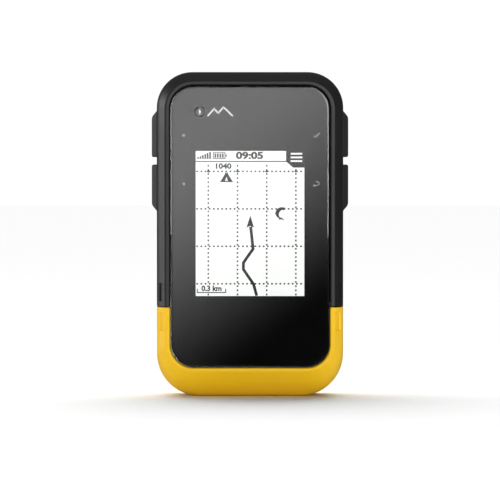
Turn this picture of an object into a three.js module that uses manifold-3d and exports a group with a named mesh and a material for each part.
// Handheld satellite navigator with a glass front, four rubber side keys and a removable battery
// cover. Millimetres: X across, Y from front to back, Z up. The case stands on its flat bottom end,
// the window faces -Y, and the origin is the centre of the bounding box's bottom face.
import * as THREE from "three";
import { mergeVertices } from "three/addons/utils/BufferGeometryUtils.js";
import Module from "manifold-3d";

const wasm = await Module();
wasm.setup();

// ---- Driving dimensions ----
const caseWidth = 58.9;
const caseHeight = 102;
const seamHeight = 28.4; // black upper case above, yellow bumper below
const seamGap = 0.35;
const skin = 1.6; // thickness of the bumper
const wall = 1.95; // housing wall under the bumper
const fit = 0.3; // clearance between pieces that touch
const keyLength = 14.7;
const keySplit = 2.3; // gap between the two keys of a side
const keyTopDrop = 12.1; // top of the case to the upper key
const keyProud = 1.4; // how far the side keys stand out of the case
const keyTravel = 0.5;
const windowSide = 4.6; // case edge to window edge, at the sides
const windowTop = 4.5;
const windowBottom = 9.5;
const windowRadius = 7.2;
const windowThickness = 1.2;
const lcdWidth = 36.4;
const lcdHeight = 52.4;
const lcdThickness = 1.8;
const boardThickness = 1;
const batteryDiameter = 14.5;
const batteryLength = 50.5;
const coverThickness = 1.85;
const trayWall = 1.2; // wall of the battery tray
const latchHeight = 14.8; // foot of the case to the latch's axis
const latchPocketRadius = 8.2;
const spineHeight = 5.3; // mounting spine, out from the cover
const screwInset = 8.45; // case side to the case screws, which pass inside the keys

// ---- Depths behind the front ridge, one piece behind the other ----
const windowFront = 0.4;
const windowBack = windowFront + windowThickness;
const ledge = windowBack + 0.3; // shelf that the window is taped to
const plateBack = ledge + wall;
const lcdFront = ledge + 0.1;
const backlightFront = plateBack + 0.75;
const backlightBack = backlightFront + 0.55;
const boardFront = backlightBack + 0.55;
const boardBack = boardFront + boardThickness;
const trayFront = boardBack + 2.8;
const trayFloor = trayFront + 1.2;
const batteryAxis = trayFloor + fit + batteryDiameter / 2;
const coverInside = batteryAxis + batteryDiameter / 2 + 0.35;
const coverCrown = coverInside + coverThickness;
const caseBack = coverCrown - 1.6;
const overallDepth = coverCrown + spineHeight;
const parting = boardBack + 7.8; // front housing meets rear housing
const coverSeat = caseBack - 2.3;
const backWall = caseBack - skin - fit - wall;
const frontY = -overallDepth / 2;
const depth = (d) => frontY + d;

// ---- Heights and widths that several pieces share ----
const halfWidth = caseWidth / 2;
const core = skin + fit; // the housing under the bumper lies this far inside the case surface
const cavity = core + wall;
const bayGap = 0.8; // between the two cells
const bayHalf = batteryDiameter + bayGap / 2 + fit;
const cellX = (batteryDiameter + bayGap) / 2;
const bayLength = batteryLength + 7;
const bayBottom = latchHeight + latchPocketRadius + 0.7;
const bayTop = bayBottom + bayLength;
const keyTop = caseHeight - keyTopDrop;
const screwHeights = [bayBottom + 3, keyTop - keyLength - keySplit / 2]; // low, and between the keys
const screwX = halfWidth - screwInset;
const screwPost = 2.5; // radius of the posts round the case screws
const screwSeat = 2.2; // radius of the counterbore for a screw's head
const boardPost = 1.9;
const coverHalf = screwX + 2.6;
const coverBottom = latchHeight - latchPocketRadius - 1.2;
const coverTop = Math.max(bayTop + 3.4, screwHeights[1] + 3);
const coverRadius = 5;
const boardHalf = halfWidth - cavity - 2;
const boardBottom = 13;
const boardTop = caseHeight - 5.6;
const boardScrewX = boardHalf - 3;
const boardScrewHeights = [boardBottom + 6, boardTop - 4];
const displayCentre = 53.2;
const keyDepth = boardBack + 1.5; // middle of the side keys, along Y
const keyHalf = 3.7;
const powerHalf = 2.3;
const usbZ = coverTop + 6.6;

// ---- Materials ----
const finish = (color, roughness, metalness = 0) =>
  new THREE.MeshStandardMaterial({ color, roughness, metalness });
const blackPlastic = finish(0x333436, 0.55);
const yellowRubber = finish(0xf0b91e, 0.5);
const keyRubber = finish(0x343537, 0.7);
const sealRubber = finish(0x17181a, 0.8);
const glass = finish(0x0c0d0e, 0.08);
const tape = finish(0x101010, 0.9);
const screen = finish(0xf2f2f2, 0.4);
const circuitBoard = finish(0x14502f, 0.6);
const component = finish(0x1d1d1f, 0.6);
const ceramic = finish(0xcfc6ae, 0.5);
const steel = finish(0xb9bbbe, 0.3, 1);
const spring = finish(0xc9c6bd, 0.25, 1);
const film = finish(0xa86a20, 0.5);
const cell = finish(0x3b4046, 0.35, 0.5);

// ---- Solids ----
function solidOf(geometry) {
  const bare = geometry.clone();
  bare.deleteAttribute("normal");
  bare.deleteAttribute("uv");
  const merged = mergeVertices(bare, 1e-4);
  const vertProperties = merged.attributes.position.array;
  const triVerts = new Uint32Array(merged.index.array);
  return new wasm.Manifold(new wasm.Mesh({ numProp: 3, vertProperties, triVerts }));
}

const unite = (...solids) => solids.reduce((a, b) => a.add(b));
const cut = (solid, ...tools) => tools.reduce((a, b) => a.subtract(b), solid);

function box(x0, x1, y0, y1, z0, z1) {
  const geometry = new THREE.BoxGeometry(x1 - x0, y1 - y0, z1 - z0);
  geometry.translate((x0 + x1) / 2, (y0 + y1) / 2, (z0 + z1) / 2);
  return solidOf(geometry);
}

// Turned about Y from (radius, height) pairs.
const lathe = (section, segments) =>
  new THREE.LatheGeometry(section.map(([radius, height]) => new THREE.Vector2(radius, height)), segments);

// A cylinder along Y between two depths.
function rod(radius, x, z, d0, d1, segments = 20) {
  const geometry = new THREE.CylinderGeometry(radius, radius, d1 - d0, segments);
  geometry.translate(x, depth((d0 + d1) / 2), z);
  return solidOf(geometry);
}

// Rounded rectangle in a (u, v) plane, counterclockwise from the corner at the largest u and
// smallest v. Radii are for the bottom and the top corners.
function roundedOutline(u0, u1, v0, v1, lowRadius, highRadius, steps = 6) {
  const corners = [
    [u1 - lowRadius, v0 + lowRadius, lowRadius, -90],
    [u1 - highRadius, v1 - highRadius, highRadius, 0],
    [u0 + highRadius, v1 - highRadius, highRadius, 90],
    [u0 + lowRadius, v0 + lowRadius, lowRadius, 180],
  ];
  return corners.flatMap(([u, v, radius, start]) =>
    Array.from({ length: steps + 1 }, (_, i) => {
      const angle = THREE.MathUtils.degToRad(start + (90 * i) / steps);
      return [u + radius * Math.cos(angle), v + radius * Math.sin(angle)];
    }),
  );
}

// Closed solid through rings of points that correspond, with a flat cap at each end.
function loft(rings) {
  const count = rings[0].length;
  const centre = (ring) =>
    ring.reduce((sum, p) => sum.add(p), new THREE.Vector3()).divideScalar(count);
  const points = [...rings.flat(), centre(rings[0]), centre(rings.at(-1))];
  const first = rings.length * count;
  const faces = [];
  for (let i = 0; i < count; i++) {
    const j = (i + 1) % count;
    for (let r = 0; r + 1 < rings.length; r++) {
      const [a, b] = [r * count + i, r * count + j];
      faces.push(a, a + count, b, b, a + count, b + count);
    }
    const last = (rings.length - 1) * count;
    faces.push(first, i, j, first + 1, last + j, last + i);
  }
  const volume = (list) => {
    let sum = 0;
    for (let i = 0; i < list.length; i += 3) {
      const [a, b, c] = [0, 1, 2].map((k) => points[list[i + k]]);
      sum += a.dot(b.clone().cross(c));
    }
    return sum;
  };
  const geometry = new THREE.BufferGeometry().setFromPoints(points);
  geometry.setIndex(volume(faces) < 0 ? [...faces].reverse() : faces);
  return solidOf(geometry);
}

const ringAt = (outline, d) => outline.map(([x, z]) => new THREE.Vector3(x, depth(d), z));
const slab = (outline, d0, d1) => loft([ringAt(outline, d0), ringAt(outline, d1)]);

// The case surface: at each depth the outline lies inside the widest one by these amounts.
// The bottom insets make the sloping chin under the window, and leave a flat foot behind it.
const caseStations = [
  { d: 0, side: 2.85, top: 3, bottom: windowBottom - 1.4, low: 8.8, high: 8.8 },
  { d: 3.3, side: 0.45, top: 0.45, bottom: 4, low: 11.6, high: 10.9 },
  { d: 6.4, side: 0.3, top: 0.3, bottom: 1.3, low: 12.8, high: 11.1 },
  { d: 8.9, side: 0.15, top: 0.15, bottom: 0, low: 13.4, high: 11.2 },
  { d: parting, side: 0, top: 0, bottom: 0, low: 13.5, high: 11.3 },
  { d: caseBack - 4.8, side: 0, top: 0, bottom: 0, low: 13.5, high: 11.3 },
  { d: caseBack - 2.2, side: 1, top: 1.1, bottom: 0.9, low: 12.8, high: 10.6 },
  { d: caseBack, side: 3.8, top: 4, bottom: 3.2, low: 10.8, high: 8.8 },
];

function caseOutline(inset, station = { side: 0, top: 0, bottom: 0, low: 13.5, high: 11.3 }) {
  const half = halfWidth - station.side - inset;
  return roundedOutline(
    -half,
    half,
    station.bottom + inset,
    caseHeight - station.top - inset,
    Math.max(station.low - inset * 0.8, 1.5),
    Math.max(station.high - inset * 0.8, 1.5),
  );
}

function caseSolid(inset) {
  const deepest = caseBack - inset;
  return loft(
    caseStations.map((station) =>
      ringAt(caseOutline(inset, station), THREE.MathUtils.clamp(station.d + inset, inset, deepest)),
    ).filter((ring, i, all) => i === 0 || ring[0].y > all[i - 1][0].y + 1e-6),
  );
}

const far = 200;
const above = (z) => box(-far, far, -far, far, z, far);
const below = (z) => box(-far, far, -far, far, -far, z);
const between = (d0, d1) => box(-far, far, depth(d0), depth(d1), -far, far);

const windowOutline = (grow) => {
  const half = halfWidth - windowSide + grow;
  const [bottom, top] = [windowBottom - grow, caseHeight - windowTop + grow];
  return roundedOutline(-half, half, bottom, top, windowRadius + grow, windowRadius + grow);
};

// Opening for the window, with a lip that slopes in from the ridge.
const windowOpening = unite(
  slab(windowOutline(fit), -1, ledge),
  loft([ringAt(windowOutline(1.15), -0.01), ringAt(windowOutline(fit), 0.75)]),
);

const coverOutline = (grow) => {
  const half = coverHalf + grow;
  const radius = coverRadius + grow;
  return roundedOutline(-half, half, coverBottom - grow, coverTop + grow, radius, radius);
};
const coverRecess = slab(coverOutline(fit), coverSeat, caseBack + 1);

// Blind pockets in the front edges, one each side of the seam.
const pocketLength = 5.7;
const pocketSpacing = 4.6; // seam to pocket centre
const edgePockets = [-1, 1].flatMap((side) =>
  [-1, 1].map((up) => {
    const pocket = new THREE.BoxGeometry(1.7, 2.6, pocketLength);
    const slope = Math.atan2(2.4, 3.3);
    pocket.rotateZ(side * slope);
    pocket.translate(side * (halfWidth - 1.65), depth(2.05), seamHeight + up * pocketSpacing);
    return solidOf(pocket);
  }),
);

// ---- Side keys: name, side of the case, bottom, top and which end is sloped ----
const upper = { z0: keyTop - keyLength, z1: keyTop, slope: 1 };
const lower = { z0: upper.z0 - keySplit - keyLength, z1: upper.z0 - keySplit, slope: -1 };
const sideKeys = [
  { name: "up", side: -1, ...upper },
  { name: "down", side: -1, ...lower },
  { name: "ok", side: 1, ...upper },
  { name: "back", side: 1, ...lower },
];
const powerKey = { name: "power", side: 1, z0: 42.5, z1: 51.5 };

const wallX = halfWidth - 0.25; // case surface beside the keys
const shoulder = 0.5; // flange round the inside end of a key
const flangeThickness = 0.8;
const keyInside = halfWidth - wall - 1.5; // outer side of the flange
const nubTip = keyInside - 1.7; // inner end of the nub that presses the switch

// Rounded rectangle standing across X, grown outwards.
function keyRing(side, x, [d0, d1, z0, z1], radius, grow = 0, steps = 3) {
  const outline = roundedOutline(
    depth(d0 - grow), depth(d1 + grow), z0 - grow, z1 + grow, radius, radius, steps,
  );
  return outline.map(([y, z]) => new THREE.Vector3(side * x, y, z));
}

const keyBox = ({ z0, z1 }, half) => [keyDepth - half, keyDepth + half, z0, z1];

const keyOpening = (key, half = keyHalf) => {
  const ring = (x) => keyRing(key.side, x, keyBox(key, half), 0.9, fit);
  return loft([ring(keyInside - 3), ring(halfWidth + 5)]);
};

// ---- Housings ----
const shellBlank = unite(
  caseSolid(0).intersect(above(seamHeight + seamGap / 2)),
  caseSolid(core).intersect(below(seamHeight + seamGap)),
);

// The hollow is wider above the bumper, with a rim left at the parting line for the seal.
const hollow = unite(
  caseSolid(cavity).intersect(between(plateBack, backWall)),
  caseSolid(wall).intersect(above(seamHeight + wall)).intersect(between(plateBack, parting - 1.6)),
  caseSolid(wall).intersect(above(seamHeight + wall)).intersect(between(parting + 1.7, backWall)),
);

function frontHousing() {
  const lcdOpening = displayBox(ledge - 1, plateBack + 1, fit);
  const shell = cut(
    shellBlank.intersect(between(-1, parting)),
    windowOpening,
    hollow,
    lcdOpening,
    ...edgePockets,
    ...sideKeys.map((key) => keyOpening(key)),
    keyOpening(powerKey, powerHalf),
  );
  const post = (x, z, radius, hole, d1) =>
    cut(rod(radius, x, z, plateBack - 0.5, d1), rod(hole, x, z, plateBack, far));
  const besideTray = trayBox(trayWall + fit, trayFront - fit, far);
  const bosses = [-1, 1].flatMap((side) => [
    ...screwHeights.map((z) => cut(post(side * screwX, z, screwPost, 1.1, parting), besideTray)),
    ...boardScrewHeights.map((z) => post(side * boardScrewX, z, boardPost, 0.8, boardFront - 0.1)),
  ]);
  return unite(shell, ...bosses);
}

const trayBox = (grow, d0, d1) =>
  box(-bayHalf - grow, bayHalf + grow, depth(d0), depth(d1), bayBottom - grow, bayTop + grow);

// The cam turns in a closed cup, behind a plate with an upright slot. Upright, as here, it passes
// through the slot with the cover. A quarter turn locks it behind the plate.
const camLength = 10.8;
const camWidth = 3.6;
const camThickness = 1.6;
const keeperBack = coverSeat - 1.7;
const cupRadius = camLength / 2 + 0.5;
const cupDepth = 3;
const camOutline = (grow) => {
  const [half, tall] = [camWidth / 2 + grow, camLength / 2 + grow];
  return roundedOutline(-half, half, latchHeight - tall, latchHeight + tall, 1.5 + grow, 1.5 + grow);
};
const sealInset = core + 0.55;
const sealWidth = 0.9;

const sealRing = (d0, d1, spare = 0) =>
  cut(
    slab(caseOutline(sealInset - spare), d0, d1),
    slab(caseOutline(sealInset + sealWidth + spare), d0 - 1, d1 + 1),
  );

const usbCapHalf = 8.5;
const usbCapHeight = 8.8;
const usbCapThickness = 1.5;
const usbAnchorWidth = 4.2;
const usbCapSeat = caseBack - usbCapThickness;
const usbWell = { half: 4.8, height: 4 };
// Outline across the port's flap, its anchor or both: from one x to another, grown outwards.
const flapOutline = (x0, x1, grow = 0) => {
  const tall = usbCapHeight / 2 + grow;
  return roundedOutline(x0 - grow, x1 + grow, usbZ - tall, usbZ + tall, 1.8, 1.8, 4);
};

function rearHousing() {
  const shell = cut(
    shellBlank.intersect(between(parting + 0.1, far)),
    hollow,
    sealRing(parting, parting + 0.9, 0.05),
  );
  const tray = trayBox(trayWall, trayFront, backWall + 0.5);
  const screwPosts = [-1, 1].flatMap((side) =>
    screwHeights.map((z) => rod(screwPost, side * screwX, z, parting + 0.1, backWall + 0.5)),
  );
  const cup = rod(cupRadius + trayWall, 0, latchHeight, keeperBack - cupDepth - trayWall, backWall + 0.5, 28);
  const usbBoss = box(-7, 7, depth(backWall - 2), depth(backWall + 0.5), usbZ - 4, usbZ + 4);
  const screwHoles = [-1, 1].flatMap((side) =>
    screwHeights.flatMap((z) => [
      rod(1.25, side * screwX, z, parting - 1, caseBack),
      rod(screwSeat, side * screwX, z, coverSeat - 1.8, caseBack),
    ]),
  );
  const slot = slab(camOutline(0.4), keeperBack - 1, caseBack);
  const well = box(
    -usbWell.half,
    usbWell.half,
    depth(backWall - 3),
    depth(caseBack),
    usbZ - usbWell.height / 2,
    usbZ + usbWell.height / 2,
  );
  const contactSlots = [-1, 1].map((side) => {
    const [x0, x1] = [side * cellX - 2.3, side * cellX + 2.3];
    return box(x0, x1, depth(trayFront - 1), depth(trayFloor + 1), bayTop - 1.6, bayTop - 0.4);
  });
  return cut(
    unite(shell, tray, ...screwPosts, cup, usbBoss),
    coverRecess,
    trayBox(0, trayFloor, far),
    rod(cupRadius, 0, latchHeight, keeperBack - cupDepth, keeperBack, 28),
    slot,
    well,
    slab(flapOutline(-usbCapHalf - usbAnchorWidth, usbCapHalf, fit), usbCapSeat - 0.05, caseBack + 1),
    ...screwHoles,
    ...contactSlots,
  );
}

function lowerBumper() {
  return cut(
    caseSolid(0).intersect(below(seamHeight - seamGap / 2)),
    caseSolid(skin),
    windowOpening,
    coverRecess,
    ...edgePockets,
  );
}

// ---- Front stack ----
function windowPane() {
  const bevel = 0.3;
  return loft([
    ringAt(windowOutline(-bevel), windowFront),
    ringAt(windowOutline(0), windowFront + bevel),
    ringAt(windowOutline(0), windowBack),
  ]);
}

function windowTape() {
  const [half, tall] = [lcdWidth / 2 + 1.2, lcdHeight / 2 + 1.2];
  const inner = roundedOutline(-half, half, displayCentre - tall, displayCentre + tall, 2, 2);
  return cut(slab(windowOutline(-0.4), windowBack + 0.05, ledge - 0.05), slab(inner, 0, far));
}

// Block of the display's outline between two depths, grown sideways.
const displayBox = (d0, d1, grow = 0) => {
  const [half, tall] = [lcdWidth / 2 + grow, lcdHeight / 2 + grow];
  return box(-half, half, depth(d0), depth(d1), displayCentre - tall, displayCentre + tall);
};

// Ribbon from the back of the display down to the board, folded under it.
function displayFlex() {
  const low = displayCentre - lcdHeight / 2;
  const profile = new THREE.Shape();
  const points = [
    [lcdFront + 0.9, low - 0.05],
    [plateBack + 0.45, low - 0.05],
    [plateBack + 0.45, low - 5],
    [boardFront - 0.1, low - 6.2],
    [boardFront - 0.1, low - 8.4],
    [boardFront - 0.4, low - 8.4],
    [boardFront - 0.4, low - 6.35],
    [plateBack + 0.15, low - 5.15],
    [plateBack + 0.15, low - 0.25],
    [lcdFront + 0.9, low - 0.25],
  ];
  profile.setFromPoints(points.map(([d, z]) => new THREE.Vector2(depth(d), z)));
  const geometry = new THREE.ExtrudeGeometry(profile, { depth: 16, bevelEnabled: false });
  // The profile's x and y become Y and Z, and the extrusion runs along X.
  geometry.applyMatrix4(new THREE.Matrix4().set(0, 0, 1, -8, 1, 0, 0, 0, 0, 1, 0, 0, 0, 0, 0, 1));
  return solidOf(geometry);
}

function mainBoard() {
  const outline = roundedOutline(-boardHalf, boardHalf, boardBottom, boardTop, 5, 5);
  const notch = screwPost + 0.4;
  const holes = [-1, 1].flatMap((side) => [
    ...screwHeights.flatMap((z) => {
      const [x0, x1] = [side * screwX, side * halfWidth].sort((a, b) => a - b);
      return [rod(notch, side * screwX, z, 0, far), box(x0, x1, -far, far, z - notch, z + notch)];
    }),
    ...boardScrewHeights.map((z) => rod(1.1, side * boardScrewX, z, 0, far, 12)),
  ]);
  return cut(slab(outline, boardFront, boardBack), ...holes);
}


// Drawn can with a rounded lid.
function shieldCan(z, width, height) {
  const outline = (inset) => {
    const [half, tall] = [width / 2 - inset, height / 2 - inset];
    return roundedOutline(-half, half, z - tall, z + tall, 1 - inset, 1 - inset, 2);
  };
  return loft([
    ringAt(outline(0), boardBack + 0.05),
    ringAt(outline(0), boardBack + 1.5),
    ringAt(outline(0.3), boardBack + 1.8),
  ]);
}

// Patch antenna: ceramic tile with its feed pin.
function patchAntenna() {
  const [x, z] = [-10.5, boardTop - 8.2];
  const half = 7;
  const tile = box(x - half, x + half, depth(boardBack + 0.05), depth(boardBack + 2), z - half, z + half);
  return unite(tile, rod(0.8, x + 1.5, z, boardBack + 1.5, boardBack + 2.3, 12));
}

// ---- Keys and their switches ----
// Inside end of a key: a flange that stops it in its opening, and a nub that presses the switch.
function keyFoot(key, half, nubHalf) {
  const middle = (key.z0 + key.z1) / 2;
  const nubBox = keyBox({ z0: middle - nubHalf, z1: middle + nubHalf }, nubHalf);
  const flange = (x) => keyRing(key.side, x, keyBox(key, half), 0.9, shoulder);
  const nub = (x) => keyRing(key.side, x, nubBox, 0.5);
  return unite(
    loft([flange(keyInside - flangeThickness), flange(keyInside)]),
    loft([nub(nubTip), nub(keyInside - flangeThickness + 0.1)]),
  );
}

function rubberKey(key) {
  const { side, z0, z1, slope } = key;
  const [d0, d1] = keyBox(key, keyHalf);
  const lean = 2; // how far the outer face draws in at the front, back and far end
  const [low, high] = slope > 0 ? [z0, z1 - lean] : [z0 + lean, z1];
  const outer = halfWidth + keyProud;
  const cap = loft([
    keyRing(side, keyInside - 0.1, [d0, d1, z0, z1], 0.6),
    keyRing(side, wallX - 0.1, [d0, d1, z0, z1], 0.6),
    keyRing(side, outer - 0.25, [d0 + lean - 0.25, d1 - lean + 0.25, low, high], 0.5),
    keyRing(side, outer, [d0 + lean + 0.1, d1 - lean - 0.1, low + 0.3, high - 0.3], 0.3),
  ]);
  return unite(cap, keyFoot(key, keyHalf, 1.4));
}

function powerKeyPiece(key) {
  const ring = (x, inset) =>
    keyRing(key.side, x, keyBox(key, powerHalf), powerHalf - inset - 0.05, -inset, 5);
  const cap = loft([ring(keyInside - 0.1, 0), ring(wallX - 0.5, 0), ring(wallX - 0.1, 0.4)]);
  return unite(cap, keyFoot(key, powerHalf, 1.2));
}

// Side-acting switch on the board's back, with its actuator facing the key.
function sideSwitch({ side, z0, z1 }) {
  const middle = (z0 + z1) / 2;
  const tip = nubTip - keyTravel - 0.05;
  const bodyBox = [boardBack + 0.05, boardBack + 3, middle - 3, middle + 3];
  const actuatorBox = [keyDepth - 0.8, keyDepth + 0.8, middle - 1.3, middle + 1.3];
  const body = (x) => keyRing(side, x, bodyBox, 0.3, 0, 1);
  const actuator = (x) => keyRing(side, x, actuatorBox, 0.3, 0, 1);
  return unite(loft([body(tip - 3.2), body(tip - 0.6)]), loft([actuator(tip - 0.8), actuator(tip)]));
}

// ---- USB port ----
const usbShellFront = backWall - 7;
function usbConnector() {
  const outline = (inset) => {
    const [half, tall, radius] = [4.4 - inset, 1.6 - inset, 1.2 - inset];
    return roundedOutline(-half, half, usbZ - tall, usbZ + tall, radius, radius, 3);
  };
  const tube = cut(slab(outline(0), usbShellFront, backWall), slab(outline(0.35), usbShellFront + 1, far));
  const tongueDepths = [depth(usbShellFront + 0.5), depth(backWall - 0.8)];
  return unite(tube, box(-3.2, 3.2, ...tongueDepths, usbZ - 0.35, usbZ + 0.35));
}

function usbCap() {
  const flap = slab(flapOutline(-usbCapHalf, usbCapHalf), usbCapSeat + 0.05, caseBack);
  const plugOutline = roundedOutline(-4.1, 4.1, usbZ - 1.4, usbZ + 1.4, 1.1, 1.1, 3);
  const plug = slab(plugOutline, backWall + 0.6, usbCapSeat + 0.2);
  const lipX = usbCapHalf - 2;
  const thumbLip = box(lipX, lipX + 1, depth(caseBack - 0.2), depth(caseBack + 0.5), usbZ - 2.5, usbZ + 2.5);
  return unite(flap, plug, thumbLip);
}

const usbCapAnchor = () =>
  slab(flapOutline(-usbCapHalf - usbAnchorWidth, -usbCapHalf - fit), usbCapSeat + 0.05, caseBack);

// ---- Battery bay ----
// An AA cell standing along Z on its flat end, with the button on top.
function batteryCell() {
  const r = batteryDiameter / 2;
  const outline = [
    [0, 0],
    [r - 2.2, 0],
    [r - 2, 0.25],
    [r - 0.6, 0.25],
    [r, 0.8],
    [r, batteryLength - 1.8],
    [r - 0.5, batteryLength - 1.3],
    [r - 2.6, batteryLength - 1.3],
    [2.7, batteryLength - 1.1],
    [2.7, batteryLength - 0.2],
    [2.4, batteryLength],
    [0, batteryLength],
  ];
  const geometry = lathe(outline, 24);
  geometry.rotateX(Math.PI / 2);
  return solidOf(geometry);
}

// Round wire along a curve.
const bentWire = (radius, path, steps, curveSegments) => {
  const section = new THREE.Shape().absarc(0, 0, radius, 0, 2 * Math.PI);
  return new THREE.ExtrudeGeometry(section, { steps, curveSegments, extrudePath: path, bevelEnabled: false });
};

class ConeSpring extends THREE.Curve {
  constructor(turns, length, wide, narrow) {
    super();
    Object.assign(this, { turns, length, wide, narrow });
  }
  getPoint(t) {
    const angle = 2 * Math.PI * this.turns * t;
    const radius = THREE.MathUtils.lerp(this.wide, this.narrow, t);
    return new THREE.Vector3(radius * Math.cos(angle), radius * Math.sin(angle), this.length * t);
  }
}

// Contact plate lying across the end of a cell at z = 0, with a cone spring standing on it.
const springLength = 4.2;
const plateThickness = 0.4;
function springOn(plate) {
  const coil = bentWire(0.4, new ConeSpring(3.5, springLength - 0.5, 4.2, 2.6), 42, 3);
  coil.translate(0, 0, plateThickness - 0.05);
  return unite(plate, solidOf(coil));
}

const plateHalf = batteryDiameter / 2 - 1.2;
const contactPlate = () => box(-plateHalf, plateHalf, -plateHalf, plateHalf, 0, plateThickness);

// ---- Battery cover ----
const coverFoot = coverSeat + 0.1;
const crown = [
  { d: caseBack, inset: 0 },
  { d: caseBack + 0.9, inset: 0.9 },
  { d: coverCrown - 0.2, inset: 2.6 },
  { d: coverCrown, inset: 4 },
];
const spineBottom = latchHeight + latchPocketRadius + 7;
const spineTop = bayTop - 4;
const spineNeck = 4.3;
const spineHead = 7;
const spineShelf = 2.9; // clear height under the head

const coverSealInset = trayWall - 0.4;
const coverSealOutline = (grow) => {
  const half = bayHalf + coverSealInset + grow;
  const [low, high] = [bayBottom - coverSealInset - grow, bayTop + coverSealInset + grow];
  return roundedOutline(-half, half, low, high, 1.6 + grow, 1.6 + grow, 4);
};
const coverSealRing = (d0, d1, spare = 0) => {
  const half = sealWidth / 2 + spare;
  return cut(slab(coverSealOutline(half), d0, d1), slab(coverSealOutline(-half), d0 - 1, d1 + 1));
};

// T-section rail with a pair of notches each side and a latching pocket near the top.
function mountingSpine() {
  const neckDepths = [depth(coverCrown - 1), depth(overallDepth - 1)];
  const neck = box(-spineNeck, spineNeck, ...neckDepths, spineBottom, spineTop);
  const headFront = coverCrown + spineShelf;
  const chamfer = 0.6;
  const headRing = (inset, d) => {
    const half = spineHead - inset;
    const [low, high] = [spineBottom + inset, spineTop - inset];
    return ringAt(roundedOutline(-half, half, low, high, 1.5 - inset, 3 - inset), d);
  };
  const head = loft([
    headRing(0, headFront),
    headRing(0, overallDepth - chamfer),
    headRing(chamfer, overallDepth),
  ]);
  const length = spineTop - spineBottom;
  const notches = [-1, 1].flatMap((side) =>
    [0.3, 0.68].map((share) => {
      const z = spineBottom + share * length;
      const [x0, x1] = [side * spineNeck, side * (spineHead + 1)].sort((a, b) => a - b);
      return box(x0, x1, depth(headFront - 1), depth(overallDepth + 1), z - 2.6, z + 2.6);
    }),
  );
  const catchPocket = slab(
    roundedOutline(-2.6, 2.6, spineTop - 8, spineTop - 4.4, 0.8, 0.8, 3),
    overallDepth - 1.4,
    overallDepth + 1,
  );
  return cut(unite(neck, head), ...notches, catchPocket);
}

function batteryCover() {
  const blank = loft([
    ringAt(coverOutline(0), coverFoot),
    ...crown.map(({ d, inset }) => ringAt(coverOutline(-inset), d)),
  ]);
  const overCells = box(
    -bayHalf + 0.2,
    bayHalf - 0.2,
    depth(coverFoot - 1),
    depth(coverInside),
    bayBottom - 0.1,
    bayTop + 0.1,
  );
  const latchPocket = rod(latchPocketRadius, 0, latchHeight, latchDisc - 0.1, far, 32);
  return cut(
    unite(blank, mountingSpine()),
    overCells,
    latchPocket,
    rod(shaftRadius + 0.15, 0, latchHeight, 0, far),
    coverSealRing(coverFoot - 1, coverFoot + 0.95, 0.1),
    rod(shaftRadius + 1.3, 0, latchHeight, 0, coverFoot + 0.5),
  );
}

// ---- Quarter-turn latch with its folding ring ----
const shaftRadius = 1.8;
const latchDisc = coverCrown - 2.2;
const discThickness = 0.9;
const wireRadius = 0.75;
const barrelRadius = 1.35;
const barrelLength = 8.4;
const ringRadius = latchPocketRadius - 0.5 - wireRadius;
const ringDepth = latchDisc + discThickness + 0.15 + wireRadius;
const camFront = keeperBack - fit - camThickness;

// A cylinder along X through the ring's axle.
function axleRod(radius, length, segments) {
  const geometry = new THREE.CylinderGeometry(radius, radius, length, segments);
  geometry.rotateZ(Math.PI / 2);
  geometry.translate(0, depth(ringDepth), latchHeight);
  return solidOf(geometry);
}

// Disc in the cover's pocket, with a barrel that holds the ring and a shaft to the cam.
function latchHub() {
  const disc = rod(latchPocketRadius - fit, 0, latchHeight, latchDisc, latchDisc + discThickness, 32);
  const [half, radius] = [barrelLength / 2, barrelRadius];
  const footDepths = [depth(latchDisc + 0.4), depth(ringDepth)];
  const foot = box(-half, half, ...footDepths, latchHeight - radius, latchHeight + radius);
  const shaft = rod(shaftRadius, 0, latchHeight, camFront + camThickness + 0.1, latchDisc + 0.4);
  return cut(
    unite(disc, foot, axleRod(radius, barrelLength, 14), shaft),
    axleRod(wireRadius + 0.12, barrelLength + 4, 16),
    rod(0.8, 0, latchHeight, 0, camFront + 6.5, 12),
  );
}

// Wire ring: a half circle below its straight axle, closed into a D.
class HalfCircle extends THREE.Curve {
  getPoint(t) {
    const angle = Math.PI * (1 + t);
    return new THREE.Vector3(ringRadius * Math.cos(angle), 0, ringRadius * Math.sin(angle));
  }
}

function latchRing() {
  const bow = bentWire(wireRadius, new HalfCircle(), 14, 4);
  const axle = new THREE.CylinderGeometry(wireRadius, wireRadius, 2 * ringRadius, 8);
  axle.rotateZ(Math.PI / 2);
  const ends = [-1, 1].map((side) => {
    const ball = new THREE.SphereGeometry(wireRadius * 1.03, 10, 6);
    ball.translate(side * ringRadius, 0, 0);
    return solidOf(ball);
  });
  return unite(solidOf(bow), solidOf(axle), ...ends);
}

function latchCam() {
  return cut(slab(camOutline(0), camFront, camFront + camThickness), rod(0.95, 0, latchHeight, 0, far, 12));
}

// Turned ring of square section round an axis along Y, starting at depth 0.
function ringSeal(inner, outer, thickness) {
  const section = [
    [inner, 0],
    [outer, 0],
    [outer, thickness],
    [inner, thickness],
    [inner, 0],
  ];
  return solidOf(lathe(section, 20));
}

// Cap screw with a hexagon socket. Its head's top is at the origin, and the thread runs to -Y.
function screw(headRadius, headHeight, threadRadius, length) {
  const section = [
    [0, -headHeight - length],
    [threadRadius * 0.6, -headHeight - length],
    [threadRadius, -headHeight - length + 0.6],
    [threadRadius, -headHeight],
    [headRadius, -headHeight],
    [headRadius, -0.25],
    [headRadius - 0.25, 0],
    [0, 0],
  ];
  const body = solidOf(lathe(section, 12));
  const socket = new THREE.CylinderGeometry(headRadius * 0.5, headRadius * 0.5, headHeight, 6);
  return cut(body, solidOf(socket));
}

// ---- Assembly ----
const device = new THREE.Group();

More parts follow.
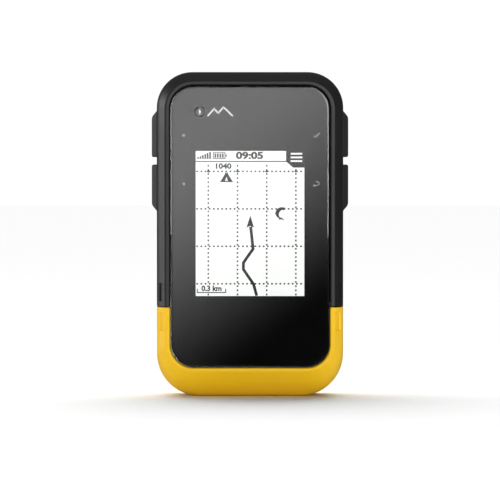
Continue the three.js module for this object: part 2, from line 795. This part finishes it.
function add(name, solid, material, x = 0, y = 0, z = 0) {
  const { vertProperties, triVerts } = solid.getMesh();
  const geometry = new THREE.BufferGeometry();
  geometry.setAttribute("position", new THREE.BufferAttribute(new Float32Array(vertProperties), 3));
  geometry.setIndex(new THREE.BufferAttribute(new Uint32Array(triVerts), 1));
  const mesh = new THREE.Mesh(geometry, material);
  mesh.name = name;
  mesh.position.set(x, y, z);
  device.add(mesh);
  return mesh;
}

add("front_housing", frontHousing(), blackPlastic);
add("rear_housing", rearHousing(), blackPlastic);
add("lower_bumper", lowerBumper(), yellowRubber);
add("housing_seal", sealRing(parting + 0.12, parting + 0.82), sealRubber);
add("window", windowPane(), glass);
add("window_tape", windowTape(), tape);
add("display_panel", displayBox(lcdFront, lcdFront + lcdThickness), screen);
add("backlight", displayBox(backlightFront, backlightBack), screen);
add("display_flex", displayFlex(), film);
add("main_board", mainBoard(), circuitBoard);
add("processor_shield", shieldCan(bayBottom + 33, 28, 22), steel);
add("power_shield", shieldCan(bayBottom + 9, 24, 13), steel);
add("gnss_antenna", patchAntenna(), ceramic);

for (const key of sideKeys) {
  add(`${key.name}_key`, rubberKey(key), keyRubber);
  add(`${key.name}_switch`, sideSwitch(key), component);
}
add("power_key", powerKeyPiece(powerKey), keyRubber);
add("power_switch", sideSwitch(powerKey), component);

const usbBoardFront = usbShellFront - boardThickness - 0.1;
const usbBoardDepths = [depth(usbBoardFront), depth(usbBoardFront + boardThickness)];
const headerDepths = [depth(boardBack + 0.05), depth(usbBoardFront - 0.05)];
add("usb_board", box(-8, 14, ...usbBoardDepths, usbZ - 5, usbZ + 4.5), circuitBoard);
add("usb_connector", usbConnector(), steel);
add("board_header", box(8, 13, ...headerDepths, usbZ - 3, usbZ + 3), component);
add("usb_cap", usbCap(), keyRubber);
add("usb_cap_anchor", usbCapAnchor(), keyRubber);

const caseScrew = screw(1.9, 1.6, 1, 14);
const boardScrew = screw(1.6, 1, 0.7, 2.6);
for (const [side, label] of [[-1, "left"], [1, "right"]]) {
  screwHeights.forEach((z, i) => {
    add(`case_screw_${label}_${i + 1}`, caseScrew, steel, side * screwX, depth(coverSeat - 0.1), z);
  });
  boardScrewHeights.forEach((z, i) => {
    const head = depth(boardBack + 1.05);
    add(`board_screw_${label}_${i + 1}`, boardScrew, steel, side * boardScrewX, head, z);
  });
}

const cellY = depth(batteryAxis);
const cellEnd = plateThickness + fit + 0.3; // wall of the bay to a cell's button
const leftZ = bayTop - cellEnd - batteryLength;
const rightZ = bayBottom + cellEnd + batteryLength;
add("battery_left", batteryCell(), cell, -cellX, cellY, leftZ);
const rightCell = add("battery_right", batteryCell(), cell, cellX, cellY, rightZ);
rightCell.rotation.x = Math.PI;

// Each end of the bay has a button contact for one cell and a spring for the other.
const topSpring = add("contact_spring_top", springOn(contactPlate()), spring, cellX, cellY, bayTop - 0.1);
topSpring.rotation.x = Math.PI;
add("contact_plate_top", contactPlate(), spring, -cellX, cellY, bayTop - 0.1 - plateThickness);
const bridge = box(-plateHalf, plateHalf + 2 * cellX, -plateHalf, plateHalf, 0, plateThickness);
add("contact_bridge", springOn(bridge), spring, -cellX, cellY, bayBottom + 0.1);

add("battery_cover", batteryCover(), blackPlastic);
add("cover_seal", coverSealRing(coverFoot + 0.02, coverFoot + 0.85), sealRubber);
add("latch_hub", latchHub(), blackPlastic);
add("latch_ring", latchRing(), steel, 0, depth(ringDepth), latchHeight);
add("latch_cam", latchCam(), steel);
const shaftSeal = ringSeal(shaftRadius + 0.1, shaftRadius + 1, 0.45);
add("latch_seal", shaftSeal, sealRubber, 0, depth(coverFoot + 0.02), latchHeight);
const camScrew = add("latch_screw", screw(1.7, 0.8, 0.7, 4), steel, 0, depth(camFront - 0.9), latchHeight);
camScrew.rotation.z = Math.PI;

export default device;
